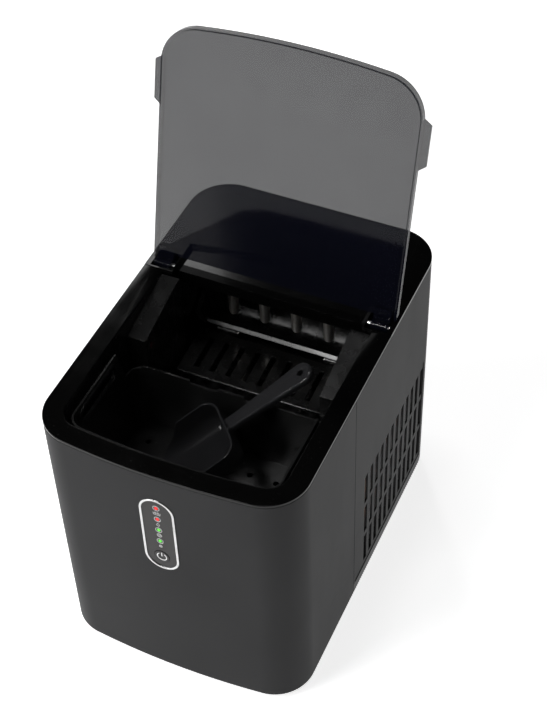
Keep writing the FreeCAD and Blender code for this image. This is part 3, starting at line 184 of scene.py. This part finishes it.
def mouldedFinish(name, look):  # painted or moulded surfaces, from satin to gloss
    finish, place = newFinish(name)
    patches = between(grain(place, look["patch"], 3), 0.3, 0.7)
    pores = grain(place, look["pore"], 1)
    wiped = between(grain(place, look["patch"] * 0.5, 5, (1, 1, 0.3)), 0.45, 0.75)
    scuffs = between(grain(place, 0.004, 6, (1, 0.12, 1)), 0.66, 0.72)
    lint = facingUp(place) * between(grain(place, 0.0016, 2), 0.68, 0.78)
    tone = blend(patches, (*look["colour"], 1), (*look["shade"], 1))
    tone = blend(lint * look.get("dust", 0.1), tone, dustTone)
    shadeWith(place, {
        "Base Color": tone,
        "Roughness": look["roughness"] + wiped * look["smudge"] + scuffs * 0.06 + pores * 0.03,
        "Normal": relief(pores, look["relief"]),
        "IOR": look.get("ior", 1.47),
        "Coat Weight": look.get("coat", 0.0),
        "Coat Roughness": 0.04,
    })
    return finish


def metalFinish(name, look):  # drawn, plated, rolled or machined metal
    finish, place = newFinish(name)
    drawn = grain(place, look["line"], 3, look["along"])
    stain = between(grain(place, look["patch"], 5), 0.5, 0.75)
    specks = between(grain(place, 0.0009, 2), 0.7, 0.76)
    tone = blend(stain, (*look["colour"], 1), (*look["tarnish"], 1))
    tone = blend(specks * 0.5, tone, (*look["tarnish"], 1))
    shadeWith(place, {
        "Base Color": tone,
        "Metallic": 1.0,
        "Roughness": look["roughness"] + drawn * look["brushed"] + stain * 0.12,
        "Normal": relief(drawn, look["relief"]),
    })
    return finish


def smokyFinish(name, look):  # see-through tinted plastic; light passes twice, once at each face
    finish, place = newFinish(name)
    prints = between(grain(place, 0.02, 6), 0.5, 0.75)
    swirl = grain(place, 0.07, 2)
    hairlines = between(grain(place, 0.003, 4, (1, 1, 0.1)), 0.7, 0.74)
    tone = blend(swirl, (*look["colour"], 1), (*look["shade"], 1))
    shadeWith(place, {
        "Base Color": tone,
        "Alpha": look["density"] + swirl * 0.03 + prints * 0.01,
        "Roughness": look["roughness"] + prints * 0.05 + hairlines * 0.08,
        "Normal": relief(swirl, look["relief"]),
        "IOR": look["ior"],
    })
    return finish


def lampFinish(name, look):  # a lit lamp, brightest over its chip
    finish, place = newFinish(name)
    across = place.node("ShaderNodeSeparateXYZ", None, {"Vector": place}, "X")
    side = place.node("ShaderNodeMath", {"operation": "ABSOLUTE"}, {0: across})
    core = 1 - between(side, *look["chip"])
    facets = grain(place, 0.0006, 2)
    glow = blend(core, (*look["rim"], 1), (*look["core"], 1))
    shadeWith(place, {
        "Base Color": blend(facets, (*look["rim"], 1), (*look["core"], 1)),
        "Emission Color": glow,
        "Emission Strength": look["power"],
        "Roughness": 0.2 + facets * 0.15,
        "Normal": relief(facets, 0.00004),
    })
    return finish


def boardFinish(name, look):  # circuit board: tracks, pads and solder points
    finish, place = newFinish(name)
    upright = place.node("ShaderNodeMapping", None, {"Vector": place, "Rotation": (pi / 2, 0, 0)})
    tracks = place.node("ShaderNodeTexBrick", {"offset": 0.35, "squash": 0.6, "squash_frequency": 3}, {
        "Vector": upright, "Scale": look["tracks"], "Mortar Size": 0.05, "Mortar Smooth": 0.2,
        "Brick Width": 1.4, "Row Height": 0.45,
    }, "Fac")
    dots = place.node("ShaderNodeTexVoronoi", None, {
        "Vector": place, "Scale": look["joints"], "Randomness": 0.6,
    })
    pads = 1 - between(dots, 0.16, 0.24)
    tone = blend(tracks, (*look["colour"], 1), (*look["track"], 1))
    tone = blend(pads, tone, (*look["solder"], 1))
    shadeWith(place, {
        "Base Color": tone,
        "Metallic": pads * 0.9,
        "Roughness": 0.42 - pads * 0.15 + tracks * 0.05,
        "Normal": relief(tracks + pads, 0.00006),
    })
    return finish


def foamFinish(name, look):  # closed cells under a skin
    finish, place = newFinish(name)
    cells = place.node("ShaderNodeTexVoronoi", None, {"Vector": place, "Scale": 1 / look["cell"]})
    patches = grain(place, 0.05, 4)
    shadeWith(place, {
        "Base Color": blend(patches, (*look["colour"], 1), (*look["shade"], 1)),
        "Roughness": 0.8 + cells * 0.15,
        "Normal": relief(cells, look["relief"]),
    })
    return finish


satinPaint = {"colour": (0.034, 0.034, 0.0348), "shade": (0.030, 0.030, 0.0307), "patch": 0.09, "pore": 0.0006,
              "roughness": 0.4, "smudge": 0.05, "relief": 0.00001, "ior": 1.1, "dust": 0.02}
rimGloss = {"colour": (0.0010, 0.0010, 0.0010), "shade": (0.0016, 0.0016, 0.0016), "patch": 0.05, "pore": 0.004,
            "roughness": 0.1, "smudge": 0.06, "relief": 0.000004, "ior": 1.28, "coat": 0.06, "dust": 0.04}
chamberPlastic = {"colour": (0.003, 0.003, 0.003), "shade": (0.0055, 0.0055, 0.0055), "patch": 0.03,
                  "pore": 0.0012, "roughness": 0.22, "smudge": 0.12, "relief": 0.00001, "coat": 0.25}
basketPlastic = {"colour": (0.006, 0.006, 0.006), "shade": (0.011, 0.011, 0.011), "patch": 0.04, "pore": 0.0016,
                 "roughness": 0.14, "smudge": 0.12, "relief": 0.000008, "coat": 0.3}
grainedBlack = {"colour": (0.014, 0.014, 0.0145), "shade": (0.02, 0.02, 0.021), "patch": 0.03, "pore": 0.0005,
                "roughness": 0.5, "smudge": 0.1, "relief": 0.00004, "dust": 0.3}
footRubber = {"colour": (0.018, 0.018, 0.018), "shade": (0.028, 0.027, 0.026), "patch": 0.008, "pore": 0.0004,
              "roughness": 0.72, "smudge": 0.12, "relief": 0.00005, "dust": 0.5}
pumpGrey = {"colour": (0.17, 0.17, 0.175), "shade": (0.13, 0.13, 0.13), "patch": 0.02, "pore": 0.0006,
            "roughness": 0.45, "smudge": 0.1, "relief": 0.00003, "dust": 0.3}
naturalWhite = {"colour": (0.72, 0.71, 0.68), "shade": (0.66, 0.64, 0.6), "patch": 0.02, "pore": 0.0008,
                "roughness": 0.38, "smudge": 0.1, "relief": 0.00002}
switchPlastic = {"colour": (0.02, 0.02, 0.021), "shade": (0.03, 0.03, 0.031), "patch": 0.012, "pore": 0.0005,
                 "roughness": 0.42, "smudge": 0.1, "relief": 0.00003, "dust": 0.3}
enamel = {"colour": (0.012, 0.012, 0.013), "shade": (0.02, 0.019, 0.018), "patch": 0.03, "pore": 0.002,
          "roughness": 0.28, "smudge": 0.14, "relief": 0.00004, "dust": 0.4}
panelFilm = {"colour": (0.011, 0.0103, 0.010), "shade": (0.014, 0.013, 0.0125), "patch": 0.02, "pore": 0.0008,
             "roughness": 0.3, "smudge": 0.06, "relief": 0.000008, "ior": 1.33}
siliconeHose = {"colour": (0.62, 0.62, 0.58), "shade": (0.5, 0.5, 0.46), "patch": 0.012, "pore": 0.0009,
                "roughness": 0.46, "smudge": 0.12, "relief": 0.00003}
sensorLens = {"colour": (0.09, 0.008, 0.012), "shade": (0.05, 0.004, 0.008), "patch": 0.004, "pore": 0.0006,
              "roughness": 0.1, "smudge": 0.05, "relief": 0.00001, "coat": 0.5}
platedSteel = {"colour": (0.72, 0.7, 0.66), "tarnish": (0.46, 0.42, 0.36), "patch": 0.012, "line": 0.0012,
               "along": (1, 1, 0.15), "roughness": 0.3, "brushed": 0.16, "relief": 0.00001}
groundPin = {"colour": (0.7, 0.7, 0.71), "tarnish": (0.45, 0.44, 0.43), "patch": 0.01, "line": 0.0008,
             "along": (0.1, 1, 1), "roughness": 0.12, "brushed": 0.12, "relief": 0.000008}
drawnCopper = {"colour": (0.76, 0.38, 0.22), "tarnish": (0.36, 0.17, 0.1), "patch": 0.02, "line": 0.0015,
               "along": (1, 0.2, 1), "roughness": 0.2, "brushed": 0.14, "relief": 0.00001}
rolledAluminium = {"colour": (0.78, 0.79, 0.8), "tarnish": (0.55, 0.56, 0.58), "patch": 0.02, "line": 0.001,
                   "along": (1, 1, 0.08), "roughness": 0.26, "brushed": 0.12, "relief": 0.00001}
zincSheet = {"colour": (0.6, 0.61, 0.62), "tarnish": (0.42, 0.42, 0.4), "patch": 0.016, "line": 0.002,
             "along": (0.2, 1, 1), "roughness": 0.3, "brushed": 0.14, "relief": 0.00002}
darkZinc = {"colour": (0.2, 0.2, 0.21), "tarnish": (0.12, 0.115, 0.11), "patch": 0.004, "line": 0.0007,
            "along": (1, 1, 1), "roughness": 0.3, "brushed": 0.12, "relief": 0.00002}
machinedBrass = {"colour": (0.72, 0.56, 0.27), "tarnish": (0.42, 0.3, 0.14), "patch": 0.01, "line": 0.0006,
                 "along": (1, 1, 0.1), "roughness": 0.2, "brushed": 0.12, "relief": 0.00001}
ringPlating = {"colour": (0.62, 0.62, 0.62), "tarnish": (0.5, 0.5, 0.5), "patch": 0.02, "line": 0.004,
               "along": (1, 1, 1), "roughness": 0.16, "brushed": 0.08, "relief": 0.000003}
lidSmoke = {"colour": (0.003, 0.0033, 0.0065), "shade": (0.004, 0.0044, 0.009), "density": 0.655,
            "roughness": 0.05, "relief": 0.00001, "ior": 1.25}
scoopSmoke = {"colour": (0.016, 0.016, 0.017), "shade": (0.026, 0.026, 0.028), "density": 0.84,
              "roughness": 0.12, "relief": 0.00003, "ior": 1.55}
redLamp = {"rim": (0.4, 0.001, 0.001), "core": (1.0, 0.004, 0.004), "power": 0.7, "chip": (0.0003, 0.0022)}
greenLamp = {"rim": (0.03, 0.35, 0.006), "core": (0.1, 0.8, 0.03), "power": 0.6, "chip": (0.0003, 0.0022)}
greenBoard = {"colour": (0.01, 0.09, 0.035), "track": (0.02, 0.17, 0.07), "solder": (0.62, 0.6, 0.56),
              "tracks": 160.0, "joints": 420.0}  # the last two are how many lie in a metre
tankFoam = {"colour": (0.74, 0.71, 0.63), "shade": (0.82, 0.79, 0.72), "cell": 0.0018, "relief": 0.0003}

finishOf = {
    "shell_satin": mouldedFinish("satinPaint", satinPaint),
    "rim_gloss": mouldedFinish("rimGloss", rimGloss),
    "smoke_lid": smokyFinish("lidSmoke", lidSmoke),
    "interior_black": mouldedFinish("chamberPlastic", chamberPlastic),
    "basket_smoke": mouldedFinish("basketPlastic", basketPlastic),
    "scoop_smoke": smokyFinish("scoopSmoke", scoopSmoke),
    "base_black": mouldedFinish("grainedBlack", grainedBlack),
    "foot_rubber": mouldedFinish("footRubber", footRubber),
    "plated_steel": metalFinish("platedSteel", platedSteel),
    "pin_steel": metalFinish("groundPin", groundPin),
    "copper": metalFinish("drawnCopper", drawnCopper),
    "fin_aluminium": metalFinish("rolledAluminium", rolledAluminium),
    "compressor_paint": mouldedFinish("enamel", enamel),
    "sheet_steel": metalFinish("zincSheet", zincSheet),
    "screw_steel": metalFinish("darkZinc", darkZinc),
    "foam": foamFinish("tankFoam", tankFoam),
    "hose_silicone": mouldedFinish("siliconeHose", siliconeHose),
    "motor_grey": mouldedFinish("pumpGrey", pumpGrey),
    "valve_brass": metalFinish("machinedBrass", machinedBrass),
    "panel_chrome": metalFinish("ringPlating", ringPlating),
    "panel_black": mouldedFinish("panelFilm", panelFilm),
    "led_red": lampFinish("redLamp", redLamp),
    "led_green": lampFinish("greenLamp", greenLamp),
    "board_green": boardFinish("greenBoard", greenBoard),
    "switch_black": mouldedFinish("switchPlastic", switchPlastic),
    "sensor_lens": mouldedFinish("sensorLens", sensorLens),
    "white_plastic": mouldedFinish("naturalWhite", naturalWhite),
}
print("finishes made:", len(finishOf))


slotOf = {part["node"]: part["material_slot"] for part in frame["record"]["subparts"]}
bodyOf = {node: body for body, nodes in frame["record"]["behaviour"]["bodies"].items() for node in nodes}

edgeBreak = {  # radius of the broken edges, in millimetres
    "front_shell": 0.5, "left_side_panel": 0.35, "right_side_panel": 0.35, "back_panel": 0.5,
    "base_plate": 0.4, "top_frame": 0.8, "rear_cover": 0.8, "lid_panel": 0.7, "ice_basket": 0.7,
    "scoop": 0.6, "panel_ring": 0.5, "panel_plate": 0.2, "power_button": 0.3, "water_tray": 0.7,
    "ice_flap": 0.6, "left_sensor_rail": 1.2, "right_sensor_rail": 1.2, "water_tank": 0.5,
    "foot_front_left": 0.4, "foot_front_right": 0.4, "foot_rear_left": 0.4, "foot_rear_right": 0.4,
    "back_panel_screws": 0.2, "cord_gland": 0.3, "drain_plug": 0.5, "drain_spout": 0.3,
    "freezing_fingers": 0.3, "evaporator_tube": 0.3, "evaporator_bracket": 0.3, "lid_hinge_pins": 0.3,
    "flap_hinge_pins": 0.3, "left_tray_bush": 0.3, "right_tray_bush": 0.3, "tray_gear_motor": 0.5,
    "water_nozzle": 0.2, "warning_leds": 0.3, "ready_leds": 0.3, "compressor": 0.6,
    "compressor_base": 0.4, "rubber_mounts": 0.4, "mount_bolts": 0.3, "fan_frame": 0.5, "fan_motor": 0.5,
    "fan_rotor": 0.25, "hot_gas_valve": 0.5, "pump_body": 0.4, "pump_impeller": 0.25,
    "tank_insulation": 1.0, "ice_sensor_emitter": 0.2, "ice_sensor_receiver": 0.2, "power_switch": 0.3,
    "display_board": 0.15, "control_board": 0.15,
}


def plainName(node):
    first, *rest = node.split("_")
    return first + "".join(word.capitalize() for word in rest)


def addPiece(name, shape, body, finish):
    mesh = bpy.data.meshes.new(name)
    shape.to_mesh(mesh)
    shape.free()
    mesh.materials.clear()
    mesh.materials.append(finish)
    piece = bpy.data.objects.new(name, mesh)
    bpy.context.scene.collection.objects.link(piece)
    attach(piece, body)
    return piece


rounding = {"merge": 2e-6, "flat": 0.6, "segments": 3, "turn": 40}  # angles in degrees


def breakEdges(node, radius, look):
    shape = bmesh.new()
    shape.from_mesh(frame["nodes"][node].data)
    bmesh.ops.remove_doubles(shape, verts=shape.verts, dist=look["merge"])
    bmesh.ops.dissolve_limit(shape, angle_limit=radians(look["flat"]), verts=shape.verts, edges=shape.edges)
    for face in shape.faces:
        face.smooth = True
        face.material_index = 0
    for edge in shape.edges:
        edge.smooth = True
    slot = slotOf[node]
    piece = addPiece(plainName(node), shape, bodyOf[node], finishOf[slot])
    if "custom_normal" in piece.data.attributes:
        piece.data.attributes.remove(piece.data.attributes["custom_normal"])
    bevel = piece.modifiers.new("brokenEdges", "BEVEL")
    bevel.width = radius / 1000
    bevel.segments = look["segments"]
    bevel.limit_method = "ANGLE"
    bevel.angle_limit = radians(look["turn"])
    bevel.use_clamp_overlap = True
    bevel.harden_normals = True
    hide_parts(node)


for node, part in frame["nodes"].items():
    part.data.materials.clear()
    part.data.materials.append(finishOf[slotOf[node]])
for node, radius in edgeBreak.items():
    breakEdges(node, radius, rounding)
print("edges broken:", len(edgeBreak))


def frontOf(node):  # the middle of a node's front face
    low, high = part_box(node)
    return Vector(((low.x + high.x) / 2, low.y, (low.z + high.z) / 2))


def closeEnds(shape):
    bmesh.ops.remove_doubles(shape, verts=shape.verts, dist=1e-7)
    bmesh.ops.holes_fill(shape, edges=shape.edges)
    bmesh.ops.recalc_face_normals(shape, faces=shape.faces)


def addBar(shape, centre, length, width, depth, turn=0.0):  # a flat bar facing the front, turned about Y
    bar = bmesh.ops.create_cube(shape, size=1)["verts"]
    bmesh.ops.scale(shape, vec=(width, depth, length), verts=bar)
    bmesh.ops.rotate(shape, cent=(0, 0, 0), matrix=Matrix.Rotation(turn, 3, "Y"), verts=bar)
    bmesh.ops.translate(shape, vec=centre, verts=bar)


def addArc(shape, centre, radius, width, depth, start, sweep, steps=40):  # a flat ring or part of one
    corners = [shape.verts.new(Vector(centre) + Vector((radius + side * width / 2, out * depth / 2, 0)))
               for side, out in ((-1, -1), (1, -1), (1, 1), (-1, 1))]
    bmesh.ops.rotate(shape, cent=centre, matrix=Matrix.Rotation(start, 3, "Y"), verts=corners)
    face = shape.faces.new(corners)
    whole = abs(sweep) >= 2 * pi - 0.001
    bmesh.ops.spin(shape, geom=[face, *face.edges, *corners], cent=centre, axis=(0, 1, 0), dvec=(0, 0, 0),
                   angle=sweep, steps=steps, use_merge=whole, use_normal_flip=False, use_duplicate=False)


markInk = {"colour": (0.8, 0.8, 0.8), "shade": (0.7, 0.7, 0.7), "patch": 0.004, "pore": 0.0004,
           "roughness": 0.4, "smudge": 0.05, "relief": 0.000005, "dust": 0.0}
inkFinish = mouldedFinish("markInk", markInk)

powerMark = {"radius": 0.0041, "line": 0.0008, "depth": 0.0003, "gap": 64, "bar": 0.0046, "rise": 0.002852,
             "sink": 0.00005}  # the gap is in degrees


def makePowerMark(look):
    shape = bmesh.new()
    centre = frontOf("power_button") + Vector((0, look["sink"], 0))
    half = radians(look["gap"]) / 2
    addArc(shape, centre, look["radius"], look["line"], look["depth"], -pi / 2 + half, 2 * pi - 2 * half)
    closeEnds(shape)
    addBar(shape, centre + Vector((0, 0, look["rise"])), look["bar"], look["line"], look["depth"])
    addPiece("powerMark", shape, "power_button", inkFinish)


makePowerMark(powerMark)

# each ice ring has an outer and an inner radius
lampRow = {"heights": (0.227, 0.2135, 0.200, 0.186), "drop": 0.0067, "line": 0.00034, "depth": 0.0002,
           "trayWidth": 0.0056, "trayWall": 0.0026, "wallLean": 12, "heap": 0.0008,
           "waterBulb": 0.0012, "waterTip": 0.0020, "tipLean": 32,
           "largeRing": (0.0020, 0.0009), "smallRing": (0.0013, 0.0005)}


def makeLampMarks(look):  # full basket, water drop, large ice, small ice
    shape = bmesh.new()
    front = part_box("panel_plate")[0].y
    line, depth = look["line"], look["depth"]
    spots = [Vector((0, front, height - look["drop"])) for height in look["heights"]]
    full, drop, large, small = spots
    for side in (-1, 1):  # a tray with two heaped pieces
        lean = side * radians(look["wallLean"])
        addBar(shape, full + Vector((side * 0.0029, 0, 0)), look["trayWall"], line, depth, lean)
        addArc(shape, full + Vector((side * 0.0012, 0, 0.0009)), look["heap"], line, depth, 0, 2 * pi, 20)
    addBar(shape, full + Vector((0, 0, -0.0013)), look["trayWidth"], line, depth, pi / 2)
    bulb = drop + Vector((0, 0, -0.0004))
    addArc(shape, bulb, look["waterBulb"], line, depth, -radians(35), radians(250), 24)
    for side in (-1, 1):
        lean = -side * radians(look["tipLean"])
        addBar(shape, drop + Vector((side * 0.00055, 0, 0.0011)), look["waterTip"], line, depth, lean)
    for spot, radii, steps in ((large, look["largeRing"], (32, 20)), (small, look["smallRing"], (28, 16))):
        for radius, count in zip(radii, steps):
            addArc(shape, spot, radius, line, depth, 0, 2 * pi, count)
    closeEnds(shape)
    addPiece("lampMarks", shape, "housing", inkFinish)


makeLampMarks(lampRow)

lampBezel = {"radius": 0.0027, "width": 0.0004, "depth": 0.0005, "rounding": 0.00012}


def makeLampBezels(row, look):
    shape = bmesh.new()
    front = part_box("panel_plate")[0].y
    for height in row["heights"]:
        addArc(shape, Vector((0, front, height)), look["radius"], look["width"], look["depth"], 0, 2 * pi, 32)
    closeEnds(shape)
    bezels = addPiece("lampBezels", shape, "housing", inkFinish)
    softened = bezels.modifiers.new("softened", "BEVEL")
    softened.width = look["rounding"]
    softened.segments = 2


makeLampBezels(lampRow, lampBezel)
print("panel marked")


wallScrews = {"places": ((0.034, 0.226), (0.047, 0.2055)), "radius": 0.0022, "height": 0.0010, "recess": 0.0006,
              "taper": 0.72, "rim": 0.3, "sink": 0.45}  # the last three are shares of the radius and the height


def makeWallScrews(look):
    shape = bmesh.new()
    tank = bmesh.new()
    tank.from_mesh(frame["nodes"]["water_tank"].data)
    walls = BVHTree.FromBMesh(tank)
    tank.free()
    for side in (-1, 1):
        for alongY, upZ in look["places"]:
            wall = walls.ray_cast(Vector((0, alongY, upZ)), Vector((side, 0, 0)))[0]
            made = bmesh.ops.create_cone(shape, cap_ends=True, segments=28, radius1=look["radius"],
                                         radius2=look["radius"] * look["taper"], depth=look["height"])["verts"]
            top = max((face for vert in made for face in vert.link_faces),
                      key=lambda face: face.calc_center_median().z)
            rim = bmesh.ops.inset_region(shape, faces=[top], thickness=look["radius"] * look["rim"], depth=0)
            bmesh.ops.translate(shape, vec=(0, 0, -look["recess"]), verts=top.verts)
            made = list({vert for vert in made} | {vert for face in rim["faces"] for vert in face.verts}
                        | set(top.verts))
            bmesh.ops.rotate(shape, cent=(0, 0, 0), matrix=Matrix.Rotation(-side * pi / 2, 3, "Y"), verts=made)
            seat = wall + Vector((-side * look["height"] * look["sink"], 0, 0))
            bmesh.ops.translate(shape, vec=seat, verts=made)
    bmesh.ops.recalc_face_normals(shape, faces=shape.faces)
    addPiece("wallScrews", shape, "housing", finishOf["screw_steel"])


makeWallScrews(wallScrews)
print("chamber screws set")


# the sky fades between these heights, from 0 at the horizon to 1 overhead
studio = {"floorSize": 40.0, "floor": (0.86, 0.86, 0.86), "cloud": (0.88, 0.88, 0.88), "glow": 0.8,
          "horizon": 0.9, "above": 0.035, "fade": (0.05, 0.3)}


def layFloor(look):
    shape = bmesh.new()
    bmesh.ops.create_grid(shape, x_segments=1, y_segments=1, size=look["floorSize"] / 2)
    mesh = bpy.data.meshes.new("floor")
    shape.to_mesh(mesh)
    shape.free()
    finish, place = newFinish("paleFloor")
    clouds = grain(place, 1.5, 2)
    shadeWith(place, {
        "Base Color": blend(clouds, (*look["floor"], 1), (*look["cloud"], 1)),
        "Roughness": 0.75 + clouds * 0.1,
        "Specular IOR Level": 0.1,
        "Emission Color": (1, 1, 1, 1),
        "Emission Strength": look["glow"],
    })
    mesh.materials.append(finish)
    floor = bpy.data.objects.new("floor", mesh)
    bpy.context.scene.collection.objects.link(floor)


def makeSurroundings(look):  # pale at the horizon, dim overhead
    world = bpy.data.worlds.new("studio")
    world.use_nodes = True
    world.node_tree.nodes.clear()
    start = Shade(world.node_tree)
    way = start.node("ShaderNodeTexCoord", out="Generated")
    rise = start.node("ShaderNodeSeparateXYZ", None, {"Vector": way}, "Z")
    shade = between(rise, *look["fade"])
    pale, dim = look["horizon"], look["above"]
    tone = blend(shade, (pale, pale, pale, 1), (dim, dim, dim, 1))
    light = start.node("ShaderNodeBackground", None, {"Color": tone, "Strength": 1.0})
    start.node("ShaderNodeOutputWorld", None, {"Surface": light})
    bpy.context.scene.world = world


layFloor(studio)
makeSurroundings(studio)
print("floor laid")
